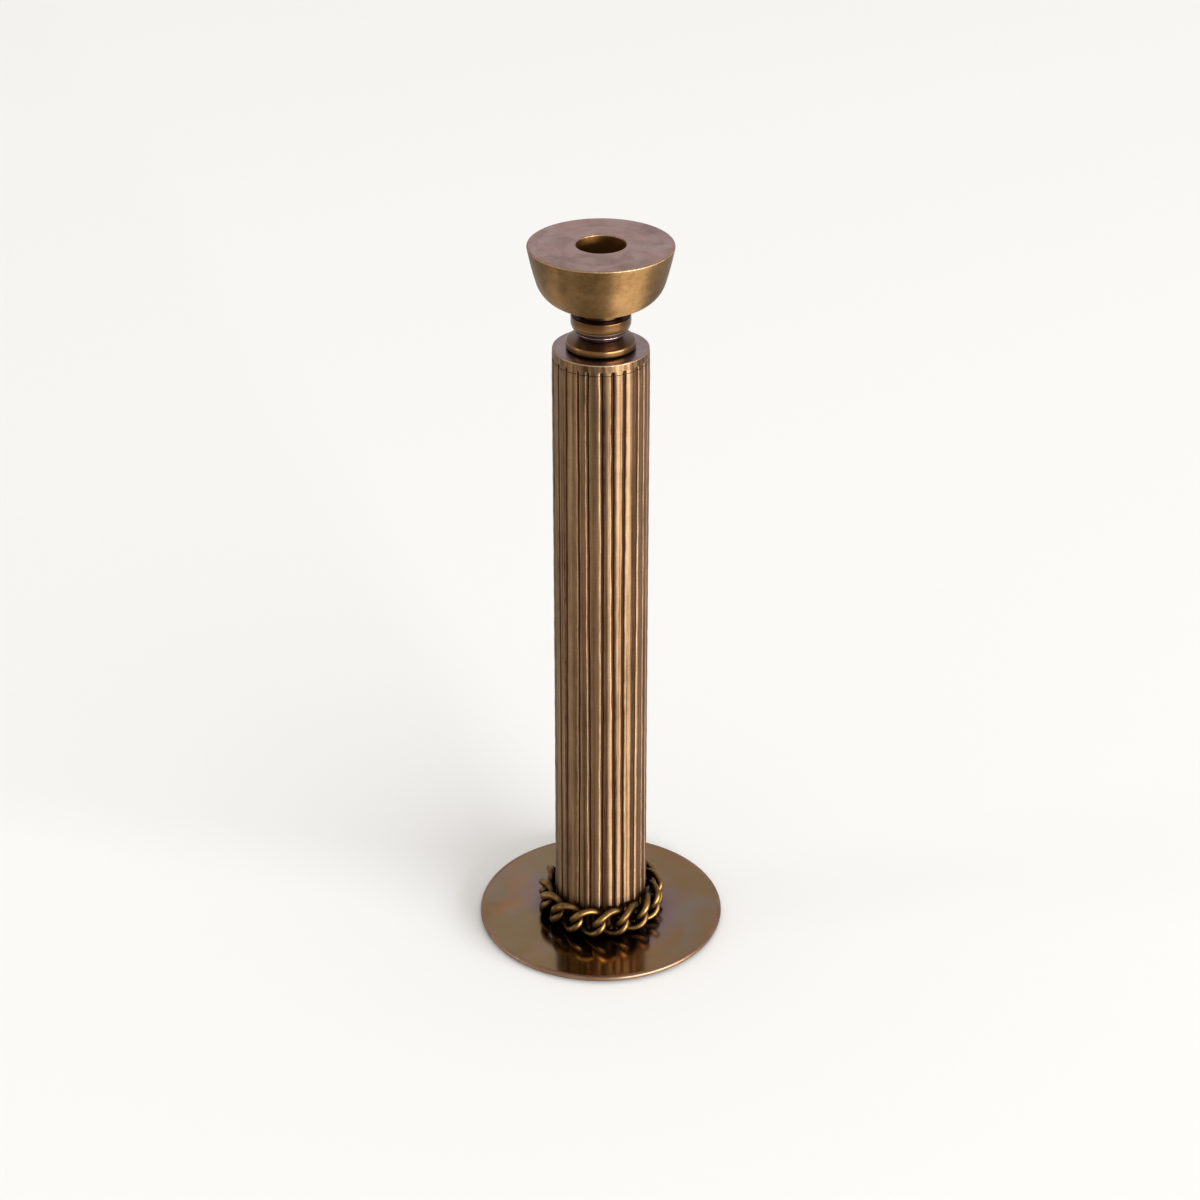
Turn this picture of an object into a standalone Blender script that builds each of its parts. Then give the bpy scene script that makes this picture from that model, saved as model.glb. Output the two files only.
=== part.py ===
"""Taper candlestick with a fluted column and a loose ring of curb chain.

Run with: blender --background --python part.py

Frame: metres, +Z up, -Y to the front. The origin is on the candlestick's axis, at the
underside of the felt pad, so the part stands on the plane z = 0.
"""

from math import atan2, cos, pi, radians, sin, tau

import bmesh
import bpy

MM = 0.001
GAP = 0.3 * MM  # air left between pieces that rest on each other

# Foot
PAD_THICKNESS = 0.8 * MM
PAD_RADIUS = 56 * MM
PLATE_RADIUS = 60 * MM
PLATE_THICKNESS = 2.4 * MM
PLATE_EDGE = 0.7 * MM
PLATE_BOTTOM = PAD_THICKNESS + GAP
PLATE_TOP = PLATE_BOTTOM + PLATE_THICKNESS
COLUMN_FOOT = PLATE_TOP + GAP

# Heights of the stack, from the plate's underside to each piece's upper face
COLUMN_TOP = PLATE_BOTTOM + 304.6 * MM
RING_TOP = PLATE_BOTTOM + 310.0 * MM
KNOP_TOP = PLATE_BOTTOM + 320.3 * MM
CUP_TOP = PLATE_BOTTOM + 352.6 * MM

# Fluted column
COLUMN_RADIUS = 22.0 * MM
FOOT_SWELL = 0.6 * MM
SHOULDER_NARROWING = 0.35 * MM
SHOULDER_LENGTH = 12 * MM
SLEEVE_BORE = 17.3 * MM
FLUTES = 24
FLUTE_DEPTH = 1.0 * MM
FLUTE_HALF_ANGLE = radians(2.6)
RIB_ROUNDING = 0.25 * MM
CAP_RIM = 4.9 * MM
FLUTE_END = 3.2 * MM
CAP_EDGE = 0.5 * MM
SPIGOT_RADIUS = SLEEVE_BORE - GAP
SPIGOT_LENGTH = 6 * MM
SLEEVE_BANDS = 6
CAP_HALF_CUT = 0.6  # share of the way up to the flutes' tips, and of their depth there

# How the hand-chased flutes stray from even spacing
STRAY = radians(1.3)
STRAY_STEP = 2.3  # angle in the sine from one flute to the next
STRAY_START = 0.6
DRIFT = radians(1.1)
DRIFT_STEP = 1.7
DRIFT_CLIMB = 3.1  # angle in the sine from foot to top

# Hidden fixings, all M6
ROD_RADIUS = 3.0 * MM
HOLE_RADIUS = ROD_RADIUS + GAP
NUT_ACROSS_FLATS = 10 * MM
NUT_HEIGHT = 5 * MM
WASHER_RADIUS = 6.2 * MM
WASHER_THICKNESS = 1.2 * MM
NUT_ROOM = 7.0 * MM
PLUG_HEIGHT = 16 * MM
SCREW_HEAD_RADIUS = 5.2 * MM
SCREW_LENGTH = 9 * MM
ROD_GRIP = 5.5 * MM

# Neck. A depth is taken down from the piece's upper face.
NECK_RADIUS = 9.5 * MM
RING_RADIUS = 15.65 * MM
RING_SHOULDER = 14.1 * MM
RING_SHOULDER_DEPTH = 1.0 * MM
RING_CROWN = 15.2 * MM
RING_CROWN_DEPTH = 1.3 * MM
RING_WIDEST_DEPTH = 2.6 * MM
RING_ROUNDING = 1.0 * MM
RING_FOOT_RISE = 1.1 * MM
RING_FOOT_BEVEL = 0.6 * MM
KNOP_RADIUS = 13.5 * MM
KNOP_EDGE = 0.6 * MM
KNOP_DRAFT = 0.1 * MM
KNOP_WIDEST_DEPTH = 3.1 * MM
KNOP_BULGE = 2.8 * MM
KNOP_TUCK_OUT = 1.7 * MM
KNOP_TUCK_UP = 2.1 * MM
NUT_ROOM_TOP = KNOP_TOP - 8.2 * MM

# Cup: (radius, depth below its top) of the points and curve handles of its outside
CUP_RADIUS = 32.4 * MM
CUP_DEPTH = 28.6 * MM
CUP_EDGE = 0.8 * MM
CUP_UPPER_SIDE = ((31.45 * MM, 5.8 * MM), (30.1 * MM, 11.5 * MM), (28.6 * MM, 16.5 * MM))
CUP_BELLY = ((27.0 * MM, 21.7 * MM), (23.2 * MM, 25.4 * MM), (17.0 * MM, 27.6 * MM))
CANDLE_RADIUS = 11.05 * MM
CANDLE_DEPTH = 21 * MM
CANDLE_CHAMFER = 0.8 * MM
CUP_FLOOR = 1.8 * MM

# Ring of curb chain
LINKS = 15
WIRE_RADIUS = 1.6 * MM
CHAIN_RADIUS = 26.6 * MM
LINK_HALF_LENGTH = 7.6 * MM
LINK_HALF_WIDTH = 6.1 * MM
LINK_TWIST = radians(45)
LINK_STATIONS = 20
FIRST_LINK = 0.42  # how far the first link's middle is past the front, in links

# Sides of the turned pieces
COARSE = 24
MEDIUM = 40
FINE = 64
SHARP_ANGLE = radians(35)  # edges that bend more are shaded sharp

BRASS = (0.38, 0.22, 0.10)
SATIN_BRASS = (0.42, 0.28, 0.17)
DARK_BRASS = (0.26, 0.15, 0.08)
PLATE_BRONZE = (0.34, 0.25, 0.18)
STEEL = (0.55, 0.55, 0.56)
FELT = (0.03, 0.03, 0.035)


def clear_scene():
    for item in list(bpy.data.objects):
        bpy.data.objects.remove(item, do_unlink=True)


def finish(name, color, roughness, metallic=1.0):
    """A Principled material."""
    material = bpy.data.materials.new(name)
    material.use_nodes = True
    shader = material.node_tree.nodes["Principled BSDF"]
    shader.inputs["Base Color"].default_value = (*color, 1.0)
    shader.inputs["Roughness"].default_value = roughness
    shader.inputs["Metallic"].default_value = metallic
    return material


def place_mesh(name, shape, material, parent=None):
    """Turn a bmesh into a smooth-shaded object, with its faces pointing out."""
    bmesh.ops.recalc_face_normals(shape, faces=shape.faces)
    mesh = bpy.data.meshes.new(name)
    shape.to_mesh(mesh)
    shape.free()
    mesh.shade_smooth()
    mesh.set_sharp_from_angle(angle=SHARP_ANGLE)
    mesh.materials.append(material)
    piece = bpy.data.objects.new(name, mesh)
    bpy.context.collection.objects.link(piece)
    piece.parent = parent
    return piece


def arc(centre_radius, centre_height, radius, start, end, steps):
    """Points of (radius, height) along a round edge, from one angle to another."""
    angles = [radians(start + (end - start) * step / steps) for step in range(steps + 1)]
    return [(centre_radius + radius * cos(a), centre_height + radius * sin(a)) for a in angles]


def bezier(start, handle_a, handle_b, end, steps):
    """Points of (radius, height) along a cubic curve, without its first point."""
    points = []
    for step in range(1, steps + 1):
        t = step / steps
        weights = ((1 - t) ** 3, 3 * t * (1 - t) ** 2, 3 * t * t * (1 - t), t ** 3)
        corners = (start, handle_a, handle_b, end)
        points.append(tuple(sum(w * c[i] for w, c in zip(weights, corners)) for i in (0, 1)))
    return points


def turned(name, profile, material, sides, parent=None):
    """Spin a profile of (radius, height) points about the Z axis.

    A profile that starts and ends on the axis makes a solid of revolution. Any other
    profile is a closed loop, which makes a ring.
    """
    shape = bmesh.new()
    corners = [shape.verts.new((radius, 0, height)) for radius, height in profile]
    edges = [shape.edges.new(pair) for pair in zip(corners, corners[1:])]
    if profile[0][0] > 0:
        edges.append(shape.edges.new((corners[-1], corners[0])))
    bmesh.ops.spin(
        shape, geom=corners + edges, cent=(0, 0, 0), axis=(0, 0, 1), angle=tau, steps=sides, use_merge=True
    )
    bmesh.ops.remove_doubles(shape, verts=shape.verts, dist=0.001 * MM)
    return place_mesh(name, shape, material, parent)


def lofted_ring(name, rings, material, parent=None):
    """Join rings of equally many points, the last one back to the first."""
    shape = bmesh.new()
    loops = [[shape.verts.new(point) for point in ring] for ring in rings]
    for lower, upper in zip(loops, loops[1:] + loops[:1]):
        for index in range(len(lower)):
            following = (index + 1) % len(lower)
            shape.faces.new((lower[index], lower[following], upper[following], upper[index]))
    return place_mesh(name, shape, material, parent)


def hexagonal_nut(name, bottom, height, across_flats, material, parent=None):
    """A nut whose plain hole stands for the tapped one."""
    corner = across_flats / 2 / cos(pi / 6)
    outer = [(corner * cos(tau * k / 6), corner * sin(tau * k / 6)) for k in range(6)]
    # Four points along each flat let the six-sided outside meet the round hole.
    points = []
    for (x0, y0), (x1, y1) in zip(outer, outer[1:] + outer[:1]):
        points += [(x0 + (x1 - x0) * s / 4, y0 + (y1 - y0) * s / 4) for s in range(4)]
    hole = []
    for x, y in points:
        angle = atan2(y, x)
        hole.append((HOLE_RADIUS * cos(angle), HOLE_RADIUS * sin(angle)))
    top = bottom + height
    rings = [
        [(x, y, bottom) for x, y in points],
        [(x, y, top) for x, y in points],
        [(x, y, top) for x, y in hole],
        [(x, y, bottom) for x, y in hole],
    ]
    return lofted_ring(name, rings, material, parent)


# --- Fluted column -------------------------------------------------------------------


def column_radius(height):
    """Radius over the ribs: almost straight, a little wider at the foot."""
    up = (height - COLUMN_FOOT) / (COLUMN_TOP - COLUMN_FOOT)
    foot = FOOT_SWELL * (1 - up) ** 3
    shoulder = max(0.0, (height - (COLUMN_TOP - SHOULDER_LENGTH)) / SHOULDER_LENGTH)
    return COLUMN_RADIUS + foot - SHOULDER_NARROWING * shoulder ** 2


def flute_angle(index, height):
    """Middle of a flute: hand-chased, so it wanders by a degree or two."""
    up = (height - COLUMN_FOOT) / (COLUMN_TOP - COLUMN_FOOT)
    even = tau * index / FLUTES - pi / 2
    stray = STRAY * sin(STRAY_STEP * index + STRAY_START)
    return even + stray + DRIFT * sin(DRIFT_STEP * index + DRIFT_CLIMB * up)


def fluted_section(height, depth):
    """One turn of points around the column: two rib edges, a rib and a flute's bottom."""
    outer = column_radius(height)
    points = []
    for index in range(FLUTES):
        middle = flute_angle(index, height)
        following = flute_angle(index + 1, height)
        rib = (middle + (following if index < FLUTES - 1 else flute_angle(0, height) + tau)) / 2
        share = depth / FLUTE_DEPTH
        for angle, cut in (
            (middle - FLUTE_HALF_ANGLE, RIB_ROUNDING * share),
            (middle, depth),
            (middle + FLUTE_HALF_ANGLE, RIB_ROUNDING * share),
            (rib, 0.0),
        ):
            radius = outer - cut
            points.append((radius * cos(angle), radius * sin(angle), height))
    return points


def plain_section(height, radius, like):
    """A round section whose points line up with a fluted one."""
    angles = [atan2(y, x) for x, y, _ in like]
    return [(radius * cos(a), radius * sin(a), height) for a in angles]


def column_sleeve(material):
    bottom = COLUMN_FOOT
    top = COLUMN_TOP - CAP_RIM - GAP
    heights = [bottom + (top - bottom) * band / SLEEVE_BANDS for band in range(SLEEVE_BANDS + 1)]
    outside = [fluted_section(height, FLUTE_DEPTH) for height in heights]
    bore = [plain_section(top, SLEEVE_BORE, outside[-1]), plain_section(bottom, SLEEVE_BORE, outside[0])]
    return lofted_ring("column_sleeve", outside + bore, material)


def column_cap(material):
    """The disc that closes the column, with the flutes' round ends cut into its rim."""
    bottom = COLUMN_TOP - CAP_RIM
    section = fluted_section(bottom, FLUTE_DEPTH)
    rim = COLUMN_TOP - CAP_EDGE
    rings = [
        section,
        fluted_section(bottom + (CAP_RIM - FLUTE_END) * CAP_HALF_CUT, FLUTE_DEPTH * CAP_HALF_CUT),
        plain_section(COLUMN_TOP - FLUTE_END, column_radius(COLUMN_TOP - FLUTE_END), section),
        plain_section(rim, column_radius(rim), section),
        plain_section(COLUMN_TOP, column_radius(rim) - CAP_EDGE, section),
        plain_section(COLUMN_TOP, HOLE_RADIUS, section),
        plain_section(bottom - SPIGOT_LENGTH, HOLE_RADIUS, section),
        plain_section(bottom - SPIGOT_LENGTH, SPIGOT_RADIUS, section),
        plain_section(bottom, SPIGOT_RADIUS, section),
    ]
    return lofted_ring("column_cap", rings, material)


# --- Foot ----------------------------------------------------------------------------


def felt_pad(material):
    profile = [(0, PAD_THICKNESS), (PAD_RADIUS, PAD_THICKNESS), (PAD_RADIUS, 0), (0, 0)]
    return turned("felt_pad", profile, material, FINE)


def base_plate(material):
    """Thin round plate with a softened rim, countersunk from below for its screw."""
    edge = PLATE_EDGE
    sink = SCREW_HEAD_RADIUS + GAP
    profile = [(HOLE_RADIUS, PLATE_TOP)]
    profile += arc(PLATE_RADIUS - edge, PLATE_TOP - edge, edge, 90, 0, 3)
    profile += arc(PLATE_RADIUS - edge, PLATE_BOTTOM + edge, edge, 0, -90, 3)
    profile += [(sink, PLATE_BOTTOM), (HOLE_RADIUS, PLATE_BOTTOM + sink - HOLE_RADIUS)]
    return turned("base_plate", profile, material, FINE)


def base_screw(material):
    """Countersunk machine screw that holds the plate to the foot plug."""
    head_height = SCREW_HEAD_RADIUS - ROD_RADIUS
    profile = [
        (0, PLATE_BOTTOM + SCREW_LENGTH),
        (ROD_RADIUS, PLATE_BOTTOM + SCREW_LENGTH),
        (ROD_RADIUS, PLATE_BOTTOM + head_height),
        (SCREW_HEAD_RADIUS, PLATE_BOTTOM),
        (0, PLATE_BOTTOM),
    ]
    return turned("base_screw", profile, material, COARSE)


def foot_plug(material):
    """Turned disc inside the column's foot, with a through hole for screw and rod."""
    top = COLUMN_FOOT + PLUG_HEIGHT
    profile = [
        (HOLE_RADIUS, top),
        (SPIGOT_RADIUS, top),
        (SPIGOT_RADIUS, COLUMN_FOOT),
        (HOLE_RADIUS, COLUMN_FOOT),
    ]
    return turned("foot_plug", profile, material, COARSE * 2)


# --- Tie rod and its nuts ------------------------------------------------------------


def tie_rod(material):
    top = CUP_TOP - CANDLE_DEPTH - CUP_FLOOR - GAP
    bottom = COLUMN_FOOT + PLUG_HEIGHT - ROD_GRIP
    profile = [(0, top), (ROD_RADIUS, top), (ROD_RADIUS, bottom), (0, bottom)]
    return turned("tie_rod", profile, material, COARSE)


def washer(name, bottom, material):
    top = bottom + WASHER_THICKNESS
    profile = [(HOLE_RADIUS, top), (WASHER_RADIUS, top), (WASHER_RADIUS, bottom), (HOLE_RADIUS, bottom)]
    return turned(name, profile, material, COARSE)


def rod_fixings(material):
    plug_top = COLUMN_FOOT + PLUG_HEIGHT
    hexagonal_nut("rod_locknut", plug_top + GAP, NUT_HEIGHT, NUT_ACROSS_FLATS, material)
    washer_bottom = COLUMN_TOP + GAP
    washer("cap_washer", washer_bottom, material)
    nut_bottom = washer_bottom + WASHER_THICKNESS + GAP
    hexagonal_nut("cap_nut", nut_bottom, NUT_HEIGHT, NUT_ACROSS_FLATS, material)


# --- Neck and cup --------------------------------------------------------------------


def neck_ring(material):
    """Polished flange between the column cap and the knop, hollow over the nut."""
    bottom = COLUMN_TOP + GAP
    shoulder = (RING_SHOULDER, RING_TOP - RING_SHOULDER_DEPTH)
    crown = (RING_CROWN, RING_TOP - RING_CROWN_DEPTH)
    widest = (RING_RADIUS, RING_TOP - RING_WIDEST_DEPTH)
    profile = [(NUT_ROOM, RING_TOP), (NECK_RADIUS, RING_TOP), shoulder]
    profile += bezier(shoulder, crown, (RING_RADIUS, widest[1] + RING_ROUNDING), widest, 3)
    profile += [
        (RING_RADIUS, bottom + RING_FOOT_RISE),
        (RING_RADIUS - RING_FOOT_BEVEL, bottom),
        (NUT_ROOM, bottom),
    ]
    return turned("neck_ring", profile, material, MEDIUM)


def neck_knop(material):
    """Knop with a straight upper band and a round lower half, hollow over the nut."""
    bottom = RING_TOP + GAP
    edge = KNOP_EDGE
    widest = (KNOP_RADIUS, KNOP_TOP - KNOP_WIDEST_DEPTH)
    bulge = (KNOP_RADIUS, widest[1] - KNOP_BULGE)
    tuck = (NECK_RADIUS + KNOP_TUCK_OUT, bottom + KNOP_TUCK_UP)
    profile = [(HOLE_RADIUS, KNOP_TOP)]
    profile += arc(KNOP_RADIUS - KNOP_DRAFT - edge, KNOP_TOP - edge, edge, 90, 0, 2)
    profile += [widest]
    profile += bezier(widest, bulge, tuck, (NECK_RADIUS, bottom), 6)
    profile += [(NUT_ROOM, bottom), (NUT_ROOM, NUT_ROOM_TOP), (HOLE_RADIUS, NUT_ROOM_TOP)]
    return turned("neck_knop", profile, material, MEDIUM)


def candle_cup(material):
    """Bowl-shaped solid cup with a blind bore for the candle and a stem below it."""
    edge = CUP_EDGE
    bore_floor = CUP_TOP - CANDLE_DEPTH
    rod_end = bore_floor - CUP_FLOOR
    upper_side = [(radius, CUP_TOP - depth) for radius, depth in CUP_UPPER_SIDE]
    belly = [(radius, CUP_TOP - depth) for radius, depth in CUP_BELLY]
    profile = [
        (0, bore_floor),
        (CANDLE_RADIUS, bore_floor),
        (CANDLE_RADIUS, CUP_TOP - CANDLE_CHAMFER),
        (CANDLE_RADIUS + CANDLE_CHAMFER, CUP_TOP),
    ]
    profile += arc(CUP_RADIUS - edge, CUP_TOP - edge, edge, 90, 0, 3)
    profile += bezier((CUP_RADIUS, CUP_TOP - edge), *upper_side, 4)
    profile += bezier(upper_side[-1], *belly, 6)
    profile += [
        (NECK_RADIUS, CUP_TOP - CUP_DEPTH),
        (NECK_RADIUS, KNOP_TOP + GAP),
        (HOLE_RADIUS, KNOP_TOP + GAP),
        (HOLE_RADIUS, rod_end),
        (0, rod_end),
    ]
    return turned("candle_cup", profile, material, FINE)


# --- Ring of chain -------------------------------------------------------------------


def link_curve():
    """A curb link: a long round-ended loop of wire, twisted along its length.

    In the curve, X runs along the ring, Z is up and -Y points out from the column.
    """
    curve = bpy.data.curves.new("curb_link", "CURVE")
    curve.dimensions = "3D"
    curve.bevel_depth = WIRE_RADIUS
    curve.bevel_resolution = 1
    spline = curve.splines.new("POLY")
    spline.points.add(LINK_STATIONS - 1)
    spline.use_cyclic_u = True
    for station, point in enumerate(spline.points):
        turn = tau * station / LINK_STATIONS
        twist = -LINK_TWIST * cos(turn)
        across = LINK_HALF_WIDTH * sin(turn)
        point.co = (LINK_HALF_LENGTH * cos(turn), -across * sin(twist), across * cos(twist), 1)
    return curve


def chain_ring(material):
    """Closed ring of links that stand on edge around the column's foot."""
    centre = bpy.data.objects.new("chain_centre", None)
    centre.location = (0, 0, PLATE_TOP + GAP + LINK_HALF_WIDTH + WIRE_RADIUS)
    bpy.context.collection.objects.link(centre)
    curve = link_curve()
    curve.materials.append(material)
    for index in range(LINKS):
        turn = tau * (index + FIRST_LINK) / LINKS
        link = bpy.data.objects.new(f"chain_link_{index + 1:02d}", curve)
        link.location = (CHAIN_RADIUS * sin(turn), -CHAIN_RADIUS * cos(turn), 0)
        link.rotation_euler = (0, 0, turn)
        link.parent = centre
        bpy.context.collection.objects.link(link)


def build():
    clear_scene()
    brass = finish("antique_brass", BRASS, 0.34)
    satin = finish("satin_brass", SATIN_BRASS, 0.42)
    polished = finish("polished_brass", SATIN_BRASS, 0.16)
    dark = finish("dark_brass", DARK_BRASS, 0.3)
    bronze = finish("polished_bronze", PLATE_BRONZE, 0.12)
    steel = finish("steel", STEEL, 0.35)
    felt_pad(finish("felt", FELT, 0.95, metallic=0.0))
    base_plate(bronze)
    base_screw(steel)
    foot_plug(steel)
    column_sleeve(brass)
    column_cap(satin)
    tie_rod(steel)
    rod_fixings(steel)
    neck_ring(polished)
    neck_knop(polished)
    candle_cup(satin)
    chain_ring(dark)


build()
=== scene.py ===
"""Looks of an antique-brass taper candlestick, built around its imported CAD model.

Everything is in metres, +Z up, -Y to the front, in the CAD model's own frame.
"""

import random
from collections import namedtuple
from math import atan2, cos, exp, pi, radians, sin, sqrt, tau

import bpy
import numpy as np
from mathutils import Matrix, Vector


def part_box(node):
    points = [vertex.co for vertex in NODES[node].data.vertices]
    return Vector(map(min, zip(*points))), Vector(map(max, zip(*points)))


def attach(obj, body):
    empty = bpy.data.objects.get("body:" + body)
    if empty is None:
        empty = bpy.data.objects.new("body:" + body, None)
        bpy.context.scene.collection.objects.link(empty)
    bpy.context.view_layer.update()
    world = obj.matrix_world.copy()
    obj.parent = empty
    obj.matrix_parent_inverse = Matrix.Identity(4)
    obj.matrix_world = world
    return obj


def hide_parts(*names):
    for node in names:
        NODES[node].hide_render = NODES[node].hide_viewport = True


MM = 0.001
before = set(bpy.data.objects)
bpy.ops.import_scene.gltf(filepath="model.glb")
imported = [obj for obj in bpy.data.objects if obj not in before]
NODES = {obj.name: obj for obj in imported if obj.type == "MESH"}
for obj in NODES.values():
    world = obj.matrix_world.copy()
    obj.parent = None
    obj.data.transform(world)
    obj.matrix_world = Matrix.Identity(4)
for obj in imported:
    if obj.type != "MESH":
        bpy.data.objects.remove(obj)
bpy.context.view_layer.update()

# Places read from the frame
PLATE_LOW, PLATE_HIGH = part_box("base_plate")
SLEEVE_LOW, SLEEVE_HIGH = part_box("column_sleeve")
CAP_LOW, CAP_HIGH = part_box("column_cap")
RING_LOW, RING_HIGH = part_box("neck_ring")
KNOP_LOW, KNOP_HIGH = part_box("neck_knop")
CUP_LOW, CUP_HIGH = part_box("candle_cup")
PAD_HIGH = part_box("felt_pad")[1]
COLUMN_FOOT = SLEEVE_LOW.z
COLUMN_TOP = CAP_HIGH.z
LINK_NAMES = sorted(name for name in NODES if name.startswith("chain_link_"))
FIXINGS = ("base_screw", "foot_plug", "rod_locknut", "tie_rod", "cap_washer", "cap_nut")

# Foot
PLATE_EDGE = 0.95 * MM
PLATE_RIM = 1.6 * PLATE_EDGE  # width of the rubbed rim
SINK_RADIUS = 5.5 * MM
FELT_RAGGEDNESS = 0.12 * MM
FELT_SIDES = 240
FELT_SEED = 5

# Column
COLUMN_RADIUS = 22.0 * MM
FOOT_SWELL = 0.6 * MM
SHOULDER_NARROWING = 0.35 * MM
SHOULDER_LENGTH = 12 * MM
SLEEVE_BORE = 17.3 * MM
SLEEVE_BANDS = 150
SPIGOT_RADIUS = 17.0 * MM
HOLE_RADIUS = 3.3 * MM
CAP_RIM = 4.9 * MM
CAP_CHAMFER = 0.45 * MM
CAP_EDGE = ((1.6, 0.0), (1.0, 0.0), (0.28, 0.35), (0.0, 1.0), (0.0, 1.5))  # (in, down) in chamfers

# Flutes, and the ribs between them. A step runs from -1 to 1 across a flute or a rib.
FLUTES = 24
FLUTE_DEPTH = 0.66 * MM
FLUTE_HALF_ANGLE = radians(1.9)
FLUTE_STEPS = (-0.75, -0.4, 0.0, 0.4, 0.75)
FLUTE_ROUNDNESS = 0.8  # power: 1 is a parabola, less is flatter
SOOT_ROUNDNESS = 0.3
RIB_CROWN = 0.38 * MM
RIB_STEPS = (-1.0, -0.96, -0.9, -0.8, -0.6, -0.25, 0.25, 0.6, 0.8, 0.9, 0.96, 1.0)
RIB_SOOT = 0.3  # at the very edge of a rib
WORN_STEP = 0.86  # where a rib is rubbed most
WORN_REACH = 0.2
SECTION_POINTS = FLUTES * (len(RIB_STEPS) + len(FLUTE_STEPS))

# Round upper ends of the flutes, below the column's top. A flute's width opens from 0 to 1
# down its end, and the ribs' crown, the flute's depth and its soot open that much faster.
FLUTE_END = 3.2 * MM
TIP_LENGTH = 1.0 * MM
TIP_SHARES = (0.0, 0.04, 0.15, 0.3, 0.5, 0.75, 1.0)
TIP_MARGIN = 0.3 * MM
LEAST_OPENING = 0.02  # keeps the points of a closed flute apart
CROWN_OPENS = 1.2
DEPTH_OPENS = 1.5
SOOT_OPENS = 1.4

# How the hand-chased flutes stray from even spacing
STRAY = radians(1.3)
STRAY_STEP = 2.3  # angle in the sine from one flute to the next
STRAY_START = 0.6
DRIFT = radians(1.1)
DRIFT_STEP = 1.7
DRIFT_CLIMB = 3.1  # angle in the sine from foot to top

# Sizes and sine lengths of the flutes' sway, their change in width and the ribs' swell
CHASING_SEED = 24
SWAY = radians(0.14)
SWAY_LENGTHS = (90 * MM, 52 * MM, 23 * MM)
WIDTH_CHANGE = 0.06
WIDTH_LENGTHS = (80 * MM, 37 * MM, 17 * MM)
SWELL = 0.03 * MM
SWELL_LENGTHS = (34 * MM, 15 * MM, 8.5 * MM)

# Neck. A depth is taken down from the piece's upper face. Each curve is listed as the
# (radius, depth) of its two handles and its end, but the flange's foot goes up from below.
NECK_RADIUS = 9.5 * MM
NUT_ROOM = 7.0 * MM
RING_RADIUS = 15.65 * MM
RING_SLOPE = ((11.3 * MM, 0.25 * MM), (12.8 * MM, 0.5 * MM), (14.1 * MM, 1.0 * MM))
RING_CROWN = ((15.2 * MM, 1.3 * MM), (RING_RADIUS, 1.6 * MM), (RING_RADIUS, 2.6 * MM))
RING_FOOT_RISE = 1.2 * MM
RING_FOOT = ((RING_RADIUS, 0.5 * MM), (15.2 * MM, 0.0), (14.6 * MM, 0.0))
KNOP_RADIUS = 13.5 * MM
KNOP_EDGE = 0.6 * MM
KNOP_DRAFT = 0.1 * MM
KNOP_WIDEST_DEPTH = 3.1 * MM
KNOP_BULGE = 2.8 * MM
KNOP_TUCK_OUT = 1.7 * MM
KNOP_TUCK_UP = 2.1 * MM
KNOP_STEP = (5.1 * MM, 0.15 * MM, 0.2 * MM)  # place down the knop, depth and half width
KNOP_LINE = (7.7 * MM, 0.3 * MM, 0.22 * MM)
NUT_ROOM_TOP = KNOP_HIGH.z - 8.2 * MM

# Cup: (radius, depth below its top) of the handles and ends of its outside's curves
CUP_RADIUS = 32.4 * MM
CUP_DEPTH = 28.6 * MM
CUP_EDGE = 0.8 * MM
CUP_FLAT_RADIUS = CUP_RADIUS - 2.2 * CUP_EDGE
CUP_UPPER_SIDE = ((31.45 * MM, 5.8 * MM), (30.1 * MM, 11.5 * MM), (28.6 * MM, 16.5 * MM))
CUP_BELLY = ((27.0 * MM, 21.7 * MM), (23.2 * MM, 25.4 * MM), (17.0 * MM, 27.6 * MM))
STEM_FILLET = (0.8 * MM, 0.1 * MM)  # out and up
STEM_BAND = 1.0 * MM
CANDLE_RADIUS = 11.05 * MM
CANDLE_DEPTH = 21 * MM
CANDLE_CHAMFER = 0.4 * MM
CANDLE_FILLET = 0.5 * MM
CUP_FLOOR = 1.8 * MM

# Chain
WIRE_RADIUS = 1.74 * MM
WIRE_SIDES = 22
CHAIN_RADIUS = 26.6 * MM
LINK_HALF_LENGTH = 7.6 * MM
LINK_HALF_WIDTH = 6.1 * MM
LINK_TWIST = radians(45)
LINK_ROLL = radians(1.5)  # how far a link leans at most
LINK_STATIONS = 112
FIRST_LINK = 0.42  # how far the first link's middle is past the front, in links
CHAIN_SEED = 15

# Meshes
RING_SIDES = 144
DISC_SIDES = 192
SHARP_ANGLE = radians(35)
FLUTED_SHARP_ANGLE = radians(50)
TOUCH = 0.01 * MM  # closer than this to a flat face is on it

# Finish
LACQUER = 0.1  # coat weight of the thin lacquer on the brass
LACQUER_ROUGHNESS = 0.45
FOOT_SHADE_FULL = 9 * MM  # painted shade on the column's foot, behind the chain, is full up to here
FOOT_SHADE_TOP = 21 * MM  # and has faded out here

# Camera. Its rise is taken from the plate's underside.
CAMERA_DISTANCE = 1.0458
CAMERA_RISE = 0.7550
CAMERA_PITCH = radians(28.96)
CAMERA_LENS = 76.8
CAMERA_SIDE = -0.4 * MM
SENSOR_WIDTH = 36

# Stage
FLOOR_HALF_SIZE = 6.0
FLOOR_GAP = 0.05 * MM  # the floor lies this far under the felt
PANEL_TARGET = COLUMN_TOP * 0.55


# --- Shape helpers -------------------------------------------------------------------


def arc(centre_radius, centre_height, radius, start, end, steps):
    """Points of (radius, height) along a round edge, from one angle to another."""
    angles = [radians(start + (end - start) * step / steps) for step in range(steps + 1)]
    return [(centre_radius + radius * cos(a), centre_height + radius * sin(a)) for a in angles]


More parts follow.
